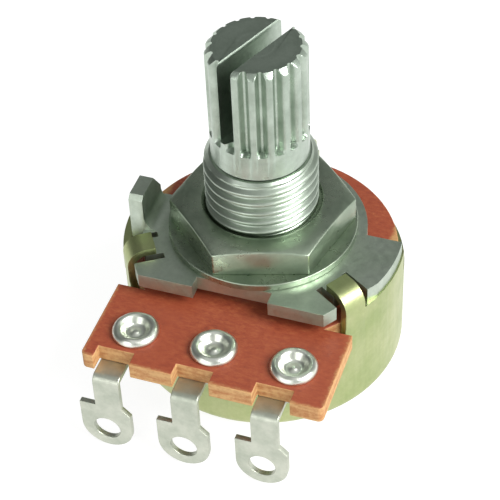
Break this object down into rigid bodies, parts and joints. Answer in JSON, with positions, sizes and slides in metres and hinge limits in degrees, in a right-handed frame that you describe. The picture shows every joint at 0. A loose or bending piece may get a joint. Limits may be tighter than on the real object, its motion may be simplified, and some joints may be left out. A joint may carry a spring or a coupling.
{
  "type": "panel potentiometer",
  "caption": "Rotary panel potentiometer with a round metal case, threaded bushing, nut, locating lug, solder tags and a split knurled shaft.",
  "frame": {"origin": "on the shaft's axis at the mounting plate's top face, where a panel seats", "axes": "+Z along the shaft towards the knob end, -Y towards the terminals, +X to the right seen from the front with the knob end up"},
  "size_m": [0.0176, 0.0215, 0.0232],
  "materials": {
    "case_steel": "yellow-green passivated zinc plate on drawn sheet steel, satin",
    "plate_steel": "zinc plated stamped sheet, satin",
    "bushing_metal": "turned, nickel plated, satin",
    "fixing_steel": "zinc plated, semi-bright",
    "board": "red-brown phenolic paper laminate, tan cut edges",
    "carbon_film": "printed carbon film, matt",
    "silver_ink": "printed silver ink, matt",
    "shaft_metal": "turned and rolled, nickel plated, satin",
    "ring_steel": "spring steel, dark, oiled",
    "carrier": "moulded black plastic, matt",
    "spring_metal": "spring bronze sheet, bright",
    "terminal_metal": "tin plated stamped sheet, satin",
    "eyelet_metal": "tin plated, bright"
  },
  "bodies": {
    "housing": {"rear_case": "case_steel", "mounting_plate": "plate_steel", "threaded_bushing": "bushing_metal", "flat_washer": "fixing_steel", "hex_nut": "fixing_steel", "terminal_board": "board", "resistive_track": "carbon_film", "collector_ring": "silver_ink", "track_lead_left": "silver_ink", "track_lead_right": "silver_ink", "terminal_left": "terminal_metal", "terminal_centre": "terminal_metal", "terminal_right": "terminal_metal", "eyelet_left": "eyelet_metal", "eyelet_centre": "eyelet_metal", "eyelet_right": "eyelet_metal"},
    "rotor": {"shaft": "shaft_metal", "retaining_ring": "ring_steel", "wiper_carrier": "carrier", "wiper_spring": "spring_metal"}
  },
  "joints": [
    {"name": "shaft_turn", "type": "hinge", "parent": "housing", "child": "rotor", "pos_m": [0, 0, 0], "axis": [0, 0, 1], "range_deg": [-128, 172]}
  ]
}
